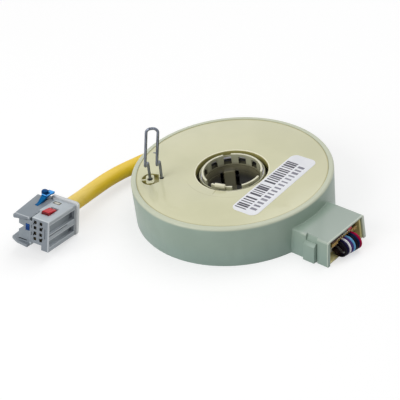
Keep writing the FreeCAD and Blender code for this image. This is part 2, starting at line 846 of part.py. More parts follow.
def side_cuts():
    front, back = side_channel_ends
    for z_low, z_high in side_channels:
        channel = block(-side_channel_depth, 1, front, connector_length - back, z_low, z_high)
        yield rounded(channel, side_channel_depth * 0.6,
                      lambda e: along(e, Vector(0, 1, 0)) and e.CenterOfMass.x < 0)
        yield block(-side_pocket_depth, 1, side_pocket_start, side_pocket_end, z_low + 0.3, z_high - 0.3)
    yield block(-0.6, 1, 0.5, side_slit_reach, side_slit[0], side_slit[1])


def make_connector_housing():
    length, top = connector_length, connector_height
    body = block(-connector_width, 0, 0, length, connector_belly, top)
    body = rounded(body, 0.35, lambda e: along(e, Vector(0, 0, 1)) and e.CenterOfMass.y < 1)
    rail = block(-rail_width, 0, 0, length, 0, connector_belly + 0.5)
    walls = block(-wall_left, -connector_width + 0.6, wall_set_back, length, 0.5, plate_top - 0.5)
    upper = prism(upper_outline(plate_top - plate_thickness), Vector(0, 0, plate_thickness))
    lower = prism(lower_outline(0.1), Vector(0, 0, plate_thickness))
    body = body.fuse([rail, walls, upper, lower]).removeSplitter()
    mouth = -wall_left - 0.4
    split = prism([Vector(mouth, -1, split_mouth[1]), Vector(-split_end, -1, split_tip[1]),
                   Vector(-split_end, -1, split_tip[0]), Vector(mouth, -1, split_mouth[0])],
                  Vector(0, length + 2, 0))
    step = block(-connector_width, -connector_width + step_width, -1, step_length, top - step_depth, top + 1)
    cuts = [split, step] + list(cavity_cuts()) + list(front_cuts()) + list(side_cuts())
    mark = block(-mark_left, -mark_right, mark_front, mark_front + mark_length, top - mark_depth, top + 1)
    island = block(-mark_left + mark_line, -mark_right - mark_line, mark_front + mark_line,
                   mark_front + mark_length - mark_line, 0, top + 2)
    cuts.append(mark.cut(island))
    cuts.append(block(-button_right - button_width - slide_gap, -button_right + slide_gap,
                      button_front - slide_gap, button_front + button_length + button_travel + slide_gap,
                      top - button_sunk - slide_gap, top + 1))
    half = lever_width / 2 + slide_gap
    cuts.append(block(lever_middle - half, lever_middle + half, lever_pivot_y - lever_pivot_radius - 0.3,
                      lever_pivot_y + lever_length + 0.3, lever_floor, top + 1))
    cuts.append(block(-lock_left - slide_gap, -lock_left + lock_width + slide_gap, -1, lock_depth + slide_gap,
                      lock_middle - lock_height / 2 - slide_gap, lock_middle + lock_height / 2 + slide_gap))
    return place(body.cut(cuts).removeSplitter())


def make_back_cover():
    right = back_margin
    low, high = -back_margin / 2, connector_height + back_margin
    plate = block(right - back_width, right, back_front, back_rear, low, high)
    plate = rounded(plate, back_corner, lambda e: along(e, Vector(0, 1, 0)))
    neck = block(right - back_width + 1, right - 1, connector_length, back_front + 0.2, low + 1, high - 1.4)
    entry = Vector(cable_entry_x, back_rear - 0.2, cable_entry_z)
    boot = Part.makeCylinder(boot_radius, boot_length + 0.2, entry, Vector(0, 1, 0))
    hole = Part.makeCylinder(cable_radius + part_gap, boot_length + 1,
                             Vector(cable_entry_x, back_rear, cable_entry_z), Vector(0, 1, 0))
    return place(joined(plate, neck, boot).cut(hole))


def make_button():
    left = -button_right - button_width
    back = button_front + button_length
    bottom = connector_height - button_sunk
    high = connector_height + button_front_rise
    low = connector_height + button_back_rise
    side = [(button_front, bottom), (button_front, high - 0.3), (button_front + 0.4, high),
            (back, low), (back, bottom)]
    body = prism([Vector(left, y, z) for y, z in side], Vector(button_width, 0, 0))
    body = rounded(body, 0.25, lambda e: e.CenterOfMass.z > connector_height + 0.2)
    return place(body)


def make_lever():
    half = lever_width / 2
    pivot_z = lever_floor + lever_pivot_radius + slide_gap
    root = Part.makeCylinder(lever_pivot_radius, lever_width,
                             Vector(lever_middle - half, lever_pivot_y, pivot_z), Vector(1, 0, 0))
    reach = lever_pivot_y + lever_length
    lift = pivot_z + lever_rise
    x = lever_middle - half
    arm = prism([Vector(x, lever_pivot_y, pivot_z - lever_thickness / 2),
                 Vector(x, reach, lift - lever_thickness / 2), Vector(x, reach + 1.6, lift + 0.6),
                 Vector(x, reach + 1.6, lift + 0.6 + lever_thickness),
                 Vector(x, reach, lift + lever_thickness / 2),
                 Vector(x, lever_pivot_y, pivot_z + lever_thickness / 2)], Vector(lever_width, 0, 0))
    knob = Part.makeCylinder(knob_radius, knob_height,
                             Vector(x - knob_radius * 0.6, reach - 0.2, lift - 0.4), Vector(0, 0, 1))
    knob = rounded(knob, knob_radius * 0.5, lambda e: isinstance(e.Curve, Part.Circle))
    pad = block(x, lever_middle + half + 1.4, reach, reach + 1.6, lift + 0.6, lift + 0.6 + lever_thickness)
    return place(root.fuse([arm, knob, pad]).removeSplitter())


def make_inner_lock():
    body = block(-lock_left, -lock_left + lock_width, 0.2, lock_depth,
                 lock_middle - lock_height / 2, lock_middle + lock_height / 2)
    return place(chamfered(body, 0.35, lambda e: along(e, Vector(1, 0, 0)) and e.CenterOfMass.y < 1))


def make_contacts():
    contacts = []
    half_wide = cavity_width / 2 - contact_gap
    half_high = cavity_height / 2 - contact_gap
    for x, z, column, row in cavity_spots():
        tube = block(x - half_wide, x + half_wide, contact_set_back, cavity_depth,
                     z - half_high, z + half_high)
        tube = tube.cut(block(x - half_wide + contact_wall, x + half_wide - contact_wall, 0, cavity_depth - 2,
                              z - half_high + contact_wall, z + half_high - contact_wall))
        contacts.append(tube)
    return place(Part.makeCompound(contacts))


def save(name, shape):
    box = shape.BoundBox
    print("%-22s solids %d valid %s volume %9.2f  x %.1f..%.1f y %.1f..%.1f z %.2f..%.2f"
          % (name, len(shape.Solids), shape.isValid(), shape.Volume,
             box.XMin, box.XMax, box.YMin, box.YMax, box.ZMin, box.ZMax))
    if len(shape.Solids) == 1:
        shape = shape.Solids[0]
    shape.exportStep("parts/%s.step" % name)


def main():
    os.makedirs("parts", exist_ok=True)
    save("housing", make_housing())
    save("cover", make_cover())
    save("base_plate", make_base_plate())
    save("circuit_board", make_circuit_board())
    save("board_chips", make_board_chips())
    save("output_sleeve", make_output_sleeve())
    save("output_target", make_target(output_flange_bottom + flange_thickness, output_lobes, 0))
    save("input_ring", make_input_ring())
    save("input_target", make_target(ring_foot - target_thickness, input_lobes, 0))
    save("grip_spring", make_grip_spring())
    save("lock_pin", make_lock_pin())
    save("label", make_label())
    for k, name in enumerate(wire_names):
        save(name, make_wire(k))
    save("wire_comb", make_wire_comb())
    save("solder_joints", make_solder_joints())
    save("cable", make_cable())
    save("cable_grommet", make_grommet())
    save("connector_housing", make_connector_housing())
    save("connector_back_cover", make_back_cover())
    save("connector_button", make_button())
    save("connector_lever", make_lever())
    save("connector_inner_lock", make_inner_lock())
    save("connector_contacts", make_contacts())


main()
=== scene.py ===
import json
import math

import bmesh
import bpy
from mathutils import Euler, Matrix, Quaternion, Vector


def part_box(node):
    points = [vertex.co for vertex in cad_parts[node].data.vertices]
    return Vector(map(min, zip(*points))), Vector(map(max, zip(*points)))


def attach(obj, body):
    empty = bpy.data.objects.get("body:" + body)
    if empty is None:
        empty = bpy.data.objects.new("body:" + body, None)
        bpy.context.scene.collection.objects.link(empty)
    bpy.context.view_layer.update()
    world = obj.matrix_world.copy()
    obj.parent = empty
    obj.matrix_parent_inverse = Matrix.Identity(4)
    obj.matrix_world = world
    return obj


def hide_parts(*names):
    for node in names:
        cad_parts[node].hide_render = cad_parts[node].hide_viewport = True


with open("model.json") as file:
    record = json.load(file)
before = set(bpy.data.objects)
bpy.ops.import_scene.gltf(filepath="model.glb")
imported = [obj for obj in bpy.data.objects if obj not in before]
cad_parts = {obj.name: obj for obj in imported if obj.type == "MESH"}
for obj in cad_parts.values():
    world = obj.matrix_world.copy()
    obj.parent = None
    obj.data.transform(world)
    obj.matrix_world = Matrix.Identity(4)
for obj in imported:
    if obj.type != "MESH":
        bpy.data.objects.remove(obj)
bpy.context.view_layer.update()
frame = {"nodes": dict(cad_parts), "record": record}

mm = 0.001


def highCorner(nodeName):
    # the largest x, y and z of a solid, in millimetres
    return [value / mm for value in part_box(nodeName)[1]]


mouthX = highCorner("housing")[0]   # the open end of the side box


def srgb(red, green, blue):
    # a colour written 0 to 255, as Blender's linear colour
    linear = []
    for part in (red, green, blue):
        part /= 255
        linear.append(part / 12.92 if part <= 0.04045 else ((part + 0.055) / 1.055) ** 2.4)
    return (*linear, 1)


class Link:
    # one socket of a node, so that a finish reads as sums
    def __init__(self, owner, socket):
        self.owner = owner
        self.socket = socket

    def maths(self, operation, other=0.0, turned=False):
        first, second = (other, self) if turned else (self, other)
        return self.owner.node("ShaderNodeMath", {"operation": operation}, {0: first, 1: second})

    def __add__(self, other): return self.maths("ADD", other)
    def __sub__(self, other): return self.maths("SUBTRACT", other)
    def __rsub__(self, other): return self.maths("SUBTRACT", other, True)
    def __mul__(self, other): return self.maths("MULTIPLY", other)
    def __pow__(self, other): return self.maths("POWER", other)
    def __abs__(self): return self.maths("ABSOLUTE")
    __radd__ = __add__
    __rmul__ = __mul__

    def most(self, other): return self.maths("MAXIMUM", other)

    def ramp(self, low, high):
        # 0 at low, 1 at high, smooth between; low may be the larger
        return self.owner.node("ShaderNodeMapRange", {"interpolation_type": "SMOOTHSTEP"},
                               {0: self, 1: low, 2: high, 3: 0.0, 4: 1.0})

    def within(self, low, high, soft=0.08):
        return self.ramp(low - soft, low + soft) * self.ramp(high + soft, high - soft)


class NodeWork:
    # makes nodes in one tree: type, settings first, then the sockets' values or links
    def __init__(self, tree):
        self.tree = tree

    def node(self, kind, settings=None, values=None, output=0):
        made = self.tree.nodes.new(kind)
        for setting, value in (settings or {}).items():
            setattr(made, setting, value)
        for socketName, value in (values or {}).items():
            self.feed(made.inputs[socketName], value)
        return Link(self, made.outputs[output])

    def feed(self, socket, value):
        if isinstance(value, Link):
            self.tree.links.new(value.socket, socket)
        else:
            socket.default_value = value


class Finish(NodeWork):
    def __init__(self, name, roughness=0.5, **constants):
        self.material = bpy.data.materials.new(name)
        self.material.use_nodes = True
        super().__init__(self.material.node_tree)
        self.tree.nodes.clear()
        self.surface = self.tree.nodes.new("ShaderNodeBsdfPrincipled")
        self.output = self.tree.nodes.new("ShaderNodeOutputMaterial")
        self.tree.links.new(self.surface.outputs[0], self.output.inputs[0])
        self.surface.inputs["Roughness"].default_value = roughness
        for socketName, value in constants.items():
            self.surface.inputs[socketName.replace("_", " ")].default_value = value

    def place(self, centre=None, turn=(0, 0, 0)):
        # millimetres in the object's frame, or in the frame of a piece that stands there, turned
        inMm = self.node("ShaderNodeVectorMath", {"operation": "SCALE"},
                         {0: self.node("ShaderNodeTexCoord", output=3), "Scale": 1 / mm})
        if centre is None:
            return inMm
        moved = self.node("ShaderNodeVectorMath", {"operation": "SUBTRACT"}, {0: inMm, 1: centre})
        return self.node("ShaderNodeVectorRotate", {"rotation_type": "EULER_XYZ", "invert": True},
                         {"Vector": moved, "Rotation": [math.radians(angle) for angle in turn]})

    def split(self, vector):
        parts = self.node("ShaderNodeSeparateXYZ", values={0: vector}).socket.node
        return [Link(self, socket) for socket in parts.outputs]

    def stretch(self, vector, factors):
        return self.node("ShaderNodeVectorMath", {"operation": "MULTIPLY"}, {0: vector, 1: factors})

    def noise(self, place, size, detail=3.0):
        # 0 to 1, in patches of about this many millimetres
        return self.node("ShaderNodeTexNoise", {}, {"Vector": place, "Scale": 1 / size, "Detail": detail})

    def mix(self, factor, first, second):
        return self.node("ShaderNodeMix", {"data_type": "RGBA"}, {0: factor, 6: first, 7: second}, 2)

    def paint(self, tone, where, colour, share=1.0):
        # the tone, with this share of the colour where the mask is 1
        return self.mix(where * share, tone, srgb(*colour))

    def highlightEdges(self, tone, edgeHighlight, amount):
        # painted highlight: rounded outer edges take a paler tone, as lit
        edge = self.node("ShaderNodeAttribute", {"attribute_name": "edge"}, output=2)
        return self.paint(tone, edge, edgeHighlight, amount)

    def colour(self, value): self.feed(self.surface.inputs["Base Color"], value)
    def rough(self, value): self.feed(self.surface.inputs["Roughness"], value)

    def bump(self, height, distance, strength=1.0):
        # a height of 0 to 1 stands this many millimetres proud
        normal = self.node("ShaderNodeBump", {}, {"Strength": strength, "Distance": distance * mm,
                                                  "Height": height})
        self.feed(self.surface.inputs["Normal"], normal)


# what all moulded plastic shares, unless a piece's own look says otherwise
moulding = {
    "clouds": (0.34, 0.68), "cloudShare": 0.6,
    "grainSize": 0.5, "grainShare": 0.12, "grain": 0.006,
    "scuffStretch": (0.2, 1.0, 0.35), "scuffSize": 1.3, "scuffDetail": 4.0, "scuffs": (0.62, 0.82),
    "scuff": 0.06, "dullSize": 5.0, "dullShare": 0.12, "polish": 0.07,
}


def moulded(finish, place, look):
    # plain moulded plastic: cloudy patches, a fine grain, dull spots and hairline scuffs
    facts = {**moulding, **look}
    clouds = finish.noise(place, facts["patchSize"]).ramp(*facts["clouds"])
    grain = finish.noise(place, facts["grainSize"])
    tone = finish.mix(clouds * facts["cloudShare"] + (grain - 0.5) * facts["grainShare"],
                      srgb(*facts["base"]), srgb(*facts["patch"]))
    along = finish.stretch(place, facts["scuffStretch"])
    scuff = finish.noise(along, facts["scuffSize"], facts["scuffDetail"]).ramp(*facts["scuffs"])
    dull = finish.noise(place, facts["dullSize"])
    finish.rough(dull * facts["dullShare"] + scuff * facts["scuff"] + (facts["rough"] - facts["polish"]))
    finish.bump(grain, facts["grain"])
    return tone


def plainPlastic(name, look):
    finish = Finish(name, look["rough"])
    finish.colour(moulded(finish, finish.place(), look))
    return finish


metals = {
    "targetSheet": {"base": (196, 198, 200), "patch": (176, 178, 180), "rough": 0.35, "metallic": 1.0},
    "pinSteel": {"base": (132, 138, 150), "patch": (88, 92, 102), "rough": 0.3, "metallic": 1.0},
    "padGold": {"base": (220, 184, 112), "patch": (190, 150, 84), "rough": 0.34, "metallic": 0.7},
    "solderMetal": {"base": (212, 204, 180), "patch": (184, 170, 130), "rough": 0.3, "metallic": 1.0},
    "contactMetal": {"base": (120, 108, 74), "patch": (90, 78, 50), "rough": 0.36, "metallic": 1.0},
}
metalGrain = {"stretch": (1.0, 1.0, 0.15), "size": 0.5, "lines": (0.3, 0.75), "dull": 0.2, "proud": 0.004}


def metalFinish(name):
    look = metals[name]
    finish = Finish(name, look["rough"], Metallic=look["metallic"])
    drawn = finish.noise(finish.stretch(finish.place(), metalGrain["stretch"]), metalGrain["size"])
    finish.colour(finish.mix(drawn.ramp(*metalGrain["lines"]), srgb(*look["base"]), srgb(*look["patch"])))
    finish.rough(drawn * metalGrain["dull"] + (look["rough"] - metalGrain["dull"] / 2))
    finish.bump(drawn, metalGrain["proud"])
    return finish


def addObject(name, data):
    made = bpy.data.objects.new(name, data)
    bpy.context.scene.collection.objects.link(made)
    return made


def lookingAt(target, place, roll=0.0):
    # where a camera or a lamp stands, turned to its target
    aim = (Vector(target) - Vector(place)).to_track_quat("-Z", "Y")
    turn = aim @ Quaternion((0, 0, 1), math.radians(roll))
    return Matrix.Translation(place) @ turn.to_matrix().to_4x4()


def evaluated(holder):
    # the mesh that an object's modifiers make; the object goes
    graph = bpy.context.evaluated_depsgraph_get()
    mesh = bpy.data.meshes.new_from_object(holder.evaluated_get(graph))
    bpy.data.objects.remove(holder)
    return mesh


joinGap = 0.0004 * mm
flatAngle = math.radians(0.4)
sharpAngle = math.radians(32)
bevelSteps = 2


def smoothed(mesh):
    mesh.shade_smooth()
    mesh.set_sharp_from_angle(angle=sharpAngle)
    return mesh


def rounded(mesh, bevel):
    # the marked edges rounded; the attribute "edge" is 1 on the faces this makes
    mesh.materials.clear()
    for slot in range(2):
        mesh.materials.append(None)
    holder = addObject("holder", mesh)
    rounding = holder.modifiers.new("rounding", "BEVEL")
    rounding.width = bevel * mm
    rounding.segments = bevelSteps
    rounding.limit_method = "WEIGHT"
    rounding.material = 1
    rounding.miter_outer = "MITER_ARC"
    result = evaluated(holder)
    onEdge = [polygon.material_index for polygon in result.polygons]
    result.attributes.new("edge", "FLOAT", "FACE").data.foreach_set("value", onEdge)
    result.polygons.foreach_set("material_index", [0] * len(onEdge))
    return result


def nodeCopy(nodeName, bevel=0.0):
    # the solid's mesh, joined up, with its sharp outer edges rounded where a width is given
    mesh = frame["nodes"][nodeName].data.copy()
    work = bmesh.new()
    work.from_mesh(mesh)
    bmesh.ops.remove_doubles(work, verts=work.verts, dist=joinGap)
    bmesh.ops.dissolve_limit(work, angle_limit=flatAngle, verts=work.verts, edges=work.edges)
    weight = work.edges.layers.float.new("bevel_weight_edge")
    for edge in work.edges:
        if edge.is_manifold and edge.calc_face_angle_signed() > sharpAngle:
            edge[weight] = 1.0
    work.to_mesh(mesh)
    work.free()
    return smoothed(rounded(mesh, bevel) if bevel else mesh)


slotOf = {entry["node"]: entry["material_slot"] for entry in frame["record"]["subparts"]}
pieces = {}


def addPiece(name, mesh, finish, body, slotName, *nodes):
    piece = addObject(name, mesh)
    mesh.materials.clear()
    mesh.materials.append(finish.material)
    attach(piece, body)
    if nodes:
        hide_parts(*nodes)
    pieces[name] = piece
    return piece


def dress(nodeName, finish, body="housing", bevel=0.0, mesh=None):
    # one piece in place of one solid: the solid's own mesh, or the changed one that is given
    if mesh is None:
        mesh = nodeCopy(nodeName, bevel)
    return addPiece(nodeName + ".look", mesh, finish, body, slotOf[nodeName], nodeName)


cameraView = {"place": (0.355316, -0.375041, 0.356893), "lookAt": (-0.00640, -0.01458, 0.0090),
              "roll": -6.75, "lens": 131.74, "sensor": 36, "clip": (0.02, 20)}


def makeCamera(view):
    data = bpy.data.cameras.new("camera")
    data.lens = view["lens"]
    data.sensor_width = view["sensor"]
    data.clip_start, data.clip_end = view["clip"]
    camera = addObject("camera", data)
    camera.matrix_world = lookingAt(view["lookAt"], view["place"], view["roll"])
    bpy.context.scene.camera = camera


makeCamera(cameraView)
print("camera placed")

# the ring of the housing, its side box and the cable outlet
housingLook = {
    "base": (157, 176, 162), "patch": (146, 165, 151), "rough": 0.38, "patchSize": 16.0, "bevel": 0.15,
    "rim": (206, 211, 188), "rimHighlightFrom": (17.1, 18.2),
    "foot": (144, 168, 160), "footFrom": (11.0, 2.0), "footShare": 0.5,
    "boxTop": (170, 181, 173), "boxFrom": (44.5, 47.5), "boxHeight": (10.9, 11.4), "boxShare": 0.7,
    "farPostHighlight": (212, 222, 205), "farPost": (9.6, 10.2), "postDepth": (0.5, 0.1), "postShare": 0.8,
    "edge": (222, 230, 214), "edgeShare": 0.5,
    "frontLine": (0.6, 0.12), "frontFace": (0.2, 0.05), "frontHeight": (10.5, 10.8), "frontShare": 0.55,
    "sideFrom": (44.5, 46.5), "side": (10.8, 11.5), "sideHeight": (10.5, 11.42), "sideShare": 0.28,
    "lipFrom": (9.8, 10.5), "lipSide": 11.4, "lipDepth": 0.45, "lipRaise": 0.8,
}


def housingFinish(look):
    finish = Finish("housingPlastic", look["rough"])
    place = finish.place()
    tone = moulded(finish, place, look)
    x, y, z = finish.split(place)

    def inFromMouth(far, near):
        return x.ramp(mouthX - far, mouthX - near)

    # painted shade and reflection of the floor: the wall turns darker and bluer towards its foot
    tone = finish.paint(tone, z.ramp(*look["footFrom"]), look["foot"], look["footShare"])
    onBox = x.ramp(*look["boxFrom"]) * z.ramp(*look["boxHeight"])
    tone = finish.paint(tone, onBox, look["boxTop"], look["boxShare"])
    # painted highlight: the top of the rim is painted paler, as lit
    tone = finish.paint(tone, z.ramp(*look["rimHighlightFrom"]), look["rim"])
    # painted highlight: the far post beside the mouth is painted pale, as lit
    farPost = inFromMouth(*look["postDepth"]) * y.ramp(*look["farPost"])
    tone = finish.paint(tone, farPost, look["farPostHighlight"], look["postShare"])
    # painted highlight: the thin front and side edges of the box are painted paler, as lit
    far, near = look["frontLine"]
    front = x.within(mouthX - far, mouthX - near)
    front = front.most(inFromMouth(*look["frontFace"]) * z.ramp(*look["frontHeight"]))
    sides = x.ramp(*look["sideFrom"]) * abs(y).ramp(*look["side"]) * z.within(*look["sideHeight"], 0.15)
    edgeHighlight = (front * look["frontShare"]).most(sides * look["sideShare"])
    tone = finish.paint(tone, edgeHighlight, look["edge"])
    # painted highlight on the rounded outer edges
    finish.colour(finish.highlightEdges(tone, look["edge"], look["edgeShare"]))
    return finish


def thinnerLip(mesh, look):
    # the roof thins towards the mouth: the under edge of its front is raised
    low, high = look["lipFrom"]
    for vertex in mesh.vertices:
        x, y, z = [value / mm for value in vertex.co]
        if x > mouthX - look["lipDepth"] and low < z < high and abs(y) < look["lipSide"]:
            vertex.co.z += look["lipRaise"] * mm
    return mesh


dress("housing", housingFinish(housingLook),
      mesh=thinnerLip(nodeCopy("housing", housingLook["bevel"]), housingLook))
print("housing dressed")

# the disc on top: smooth, clouded, with olive painted shade where it turns down into the shaft bore
coverLook = {
    "base": (222, 220, 184), "patch": (211, 210, 173), "rough": 0.16, "patchSize": 22.0, "scuff": 0.0,
    "boreShadeAndMark": (170, 163, 102), "wellDepth": (0.2, 0.02),
    "edge": (176, 168, 112), "edgeInset": (0.7, 0.1), "edgeShare": 0.75,
    "lipHighlight": (250, 246, 218), "lipHighlightAt": (15.47, 15.95), "lipDepth": (0.42, 0.28), "lipHighlightShare": 0.85,
    "arcAt": (19.94, 20.26), "arcTurn": (-118.0, -45.0), "arcFade": 9.0, "arcShare": 0.5,
    "tickAngle": -75.0, "tickAt": (15.7, 18.9), "tickWidth": (0.32, 0.16), "markShare": 0.45,
    "legs": ((-24.83, -24.24, 1.25), (-21.33, -20.81, 1.0)), "gap": (44, 38, 20), "gapShare": 0.85,
    "fineSize": 0.6, "fine": 0.06, "broadSize": 16.0, "broad": 0.5, "markDeep": 0.6, "proud": 0.05,
}


def coverFinish(look):
    discRadius, side, top = highCorner("cover")
    finish = Finish("coverPlastic", look["rough"])
    place = finish.place()
    x, y, z = finish.split(place)
    tone = moulded(finish, place, look)
    radius = (x ** 2 + y ** 2) ** 0.5
    azimuth = y.maths("ARCTAN2", x) * math.degrees(1)

    def upFrom(outside, inside):
        return z.ramp(top - outside, top - inside)

    onTop = upFrom(*look["wellDepth"])
    # painted shade: olive below the top face, down the bore and the recesses; the same olive tints the
    # turning mark
    tone = finish.paint(tone, 1 - onTop, look["boreShadeAndMark"])
    # painted shade: an olive line round the disc's outer edge, where it meets the rim
    outside, inside = look["edgeInset"]
    rim = radius.ramp(discRadius - outside, discRadius - inside)
    tone = finish.paint(tone, rim, look["edge"], look["edgeShare"])
    # painted highlight: a pale line on the rounded top edge of the bore
    lipHighlight = radius.within(*look["lipHighlightAt"], 0.06) * upFrom(*look["lipDepth"])
    tone = finish.paint(tone, lipHighlight, look["lipHighlight"], look["lipHighlightShare"])
    # a fine turning mark round part of the bore, and a short tick that ends at it
    arc = radius.within(*look["arcAt"]) * azimuth.within(*look["arcTurn"], look["arcFade"]) * onTop
    alongTick, acrossTick, up = finish.split(finish.place((0, 0, 0), (0, 0, look["tickAngle"])))
    tick = alongTick.within(*look["tickAt"], 0.2) * abs(acrossTick).ramp(*look["tickWidth"]) * onTop
    mark = (arc * look["arcShare"]).most(tick)
    tone = finish.paint(tone, mark, look["boreShadeAndMark"], look["markShare"])
    # painted shade: dark rings of the holes where the two legs of the pin go in
    for legX, legY, reach in look["legs"]:
        away = ((x - legX) ** 2 + (y - legY) ** 2) ** 0.5
        tone = finish.paint(tone, away.ramp(reach + 0.1, reach - 0.1), look["gap"], look["gapShare"])
    finish.colour(tone)
    fine = finish.noise(place, look["fineSize"])
    broad = finish.noise(place, look["broadSize"], 1.0)
    finish.bump(fine * look["fine"] + broad * look["broad"] - mark * look["markDeep"], look["proud"], 0.8)
    return finish


dress("cover", coverFinish(coverLook), bevel=0.1)
print("cover dressed")

# a number for each random choice that a strip makes
stripSeeds = {"kept": 11, "shift": 23, "width": 31, "ink": 47}


def makeStripTree():
    # one tree of nodes for every row of small flat strips: the label's print and the board's pads
    tree = bpy.data.node_groups.new("stripRow", "GeometryNodeTree")
    wanted = (("Geometry", "Geometry", None), ("Count", "Int", 10), ("Pitch", "Float", 1.0),
              ("Length", "Float", 5.0), ("Thin", "Float", 0.2), ("Wide", "Float", 0.6),
              ("Height", "Float", 0.02), ("Uneven", "Float", 0.0), ("Keep", "Float", 1.0),
              ("Seed", "Int", 1), ("Material", "Material", None))
    for name, kind, start in wanted:
        socket = tree.interface.new_socket(name=name, in_out="INPUT", socket_type="NodeSocket" + kind)
        if start is not None:
            socket.default_value = start
    tree.interface.new_socket(name="Geometry", in_out="OUTPUT", socket_type="NodeSocketGeometry")
    work = NodeWork(tree)
    group = tree.nodes.new("NodeGroupInput")
    given = {socket.name: Link(work, socket) for socket in group.outputs if socket.name}

    def chance(low, high, choice):
        # a random number for each strip
        return work.node("FunctionNodeRandomValue", {"data_type": "FLOAT"},
                         {2: low, 3: high, 8: given["Seed"] + stripSeeds[choice]}, 1)

    step = work.node("ShaderNodeCombineXYZ", values={0: given["Pitch"]})
    row = work.node("GeometryNodeMeshLine", {"mode": "OFFSET"},
                    {"Count": given["Count"], "Offset": step})
    kept = work.node("FunctionNodeCompare", {"data_type": "FLOAT", "operation": "LESS_THAN"},
                     {0: chance(0.0, 1.0, "kept"), 1: given["Keep"]})
    shift = work.node("ShaderNodeCombineXYZ",
                      values={0: chance(-0.5, 0.5, "shift") * given["Uneven"] * given["Pitch"]})
    row = work.node("GeometryNodeSetPosition", {}, {"Geometry": row, "Offset": shift})
    strip = work.node("GeometryNodeMeshCube", {}, {"Size": (1, 1, 1)})
    size = work.node("ShaderNodeCombineXYZ", values={0: chance(given["Thin"], given["Wide"], "width"),
                                                     1: given["Length"], 2: given["Height"]})
    strips = work.node("GeometryNodeInstanceOnPoints", {},
                       {"Points": row, "Selection": kept, "Instance": strip, "Scale": size})
    strips = work.node("GeometryNodeStoreNamedAttribute", {"data_type": "FLOAT", "domain": "INSTANCE"},
                       {"Geometry": strips, "Name": "ink", "Value": chance(0.0, 1.0, "ink")})
    solid = work.node("GeometryNodeRealizeInstances", {}, {"Geometry": strips})
    solid = work.node("GeometryNodeSetMaterial", {}, {"Geometry": solid, "Material": given["Material"]})
    work.feed(tree.nodes.new("NodeGroupOutput").inputs[0], solid)
    return tree


stripTree = makeStripTree()


def stripMesh(facts, finish, turn):
    # the row as a plain mesh, first strip at facts["start"], set down by the turn and place given
    holder = addObject("strips", bpy.data.meshes.new("strips"))
    rowMaker = holder.modifiers.new("row", "NODES")
    rowMaker.node_group = stripTree
    for item in stripTree.interface.items_tree:
        if item.in_out == "INPUT" and item.name in facts:
            rowMaker[item.identifier] = facts[item.name]
        elif item.in_out == "INPUT" and item.name == "Material":
            rowMaker[item.identifier] = finish.material
    mesh = evaluated(holder)
    mesh.transform(turn @ Matrix.Translation(facts["start"]))
    mesh.transform(Matrix.Scale(mm, 4))
    return mesh


# the white sticker: a band of bars and a row of plain blocks, in its own rhythm
labelLook = {
    "base": (243, 244, 248), "patch": (234, 236, 242), "rough": 0.36, "patchSize": 9.0, "grain": 0.002,
    "middle": (22.15, 1.4), "turn": 93.8,
    "bars": {"start": (-20.6, 2.6, 0.0), "Count": 26, "Pitch": 1.5, "Length": 5.5, "Thin": 0.45,
             "Wide": 1.15, "Height": 0.03, "Uneven": 0.3, "Keep": 0.95, "Seed": 5},
    "blocks": {"start": (-18.8, -2.7, 0.0), "Count": 15, "Pitch": 2.45, "Length": 3.0, "Thin": 0.8,
               "Wide": 1.5, "Height": 0.03, "Uneven": 0.1, "Keep": 1.0, "Seed": 9},
    "inks": {"bars": ("barInk", (46, 44, 58), (92, 90, 104)),
             "blocks": ("blockInk", (120, 119, 132), (158, 158, 168))},
    "inkShare": 0.8, "wearSize": 0.8, "wearShare": 0.25, "smoothest": 0.4, "dull": 0.2,
}


def inkFinish(look, name, dark, edgeHighlight):
    # each strip prints a little stronger or weaker, and the ink breaks up along its length
    finish = Finish(name)
    strength = finish.node("ShaderNodeAttribute", {"attribute_name": "ink"}, output=2)
    wear = finish.noise(finish.place(), look["wearSize"])
    finish.colour(finish.mix(strength * look["inkShare"] + (wear - 0.5) * look["wearShare"],
                             srgb(*dark), srgb(*edgeHighlight)))
    finish.rough(wear * look["dull"] + look["smoothest"])
    return finish


def makeLabel(look):
    dress("label", plainPlastic("labelFilm", look), bevel=0.05)
    top = highCorner("label")[2]
    turn = Matrix.Translation((*look["middle"], top)) @ Matrix.Rotation(math.radians(look["turn"]), 4, "Z")
    inks = {row: inkFinish(look, *facts) for row, facts in look["inks"].items()}
    for row, ink in inks.items():
        addPiece("label." + row, stripMesh(look[row], ink, turn), ink, "housing", slotOf["label"])


makeLabel(labelLook)
print("label printed")

# the turning parts in the bore
ringLook = {
    "base": (180, 180, 152), "patch": (162, 160, 132), "rough": 0.36, "patchSize": 5.0, "index": 1.3,
    "crown": (238, 235, 210), "crownDepth": (0.25, 0.04), "crownHighlightShare": 0.85,
    "low": (150, 146, 116), "shadeFrom": (14.8, 13.4),
    "hollowShade": (62, 61, 52), "hollowRadius": (12.25, 12.4), "hollowHeight": (13.1, 15.4), "hollowShare": 0.85,
}
springLook = {
    "base": (226, 224, 234), "patch": (196, 194, 206), "rough": 0.34, "metallic": 0.5,
    "stretch": (1.0, 1.0, 6.0), "size": 0.6, "proud": 0.006,
    "low": (44, 44, 48), "shadeFrom": (15.75, 15.55),
}
sleeveLook = {
    "base": (118, 114, 89), "patch": (100, 96, 74), "rough": 0.42, "patchSize": 4.0,
    "low": (32, 31, 24), "shadeFrom": (12.5, 7.0),
    "key": (136, 132, 104), "keyTurn": 139.5, "keyFrom": (9.0, 10.0), "keySides": (-2.6, 2.6),
    "keyTop": (10.6, 10.2),
}


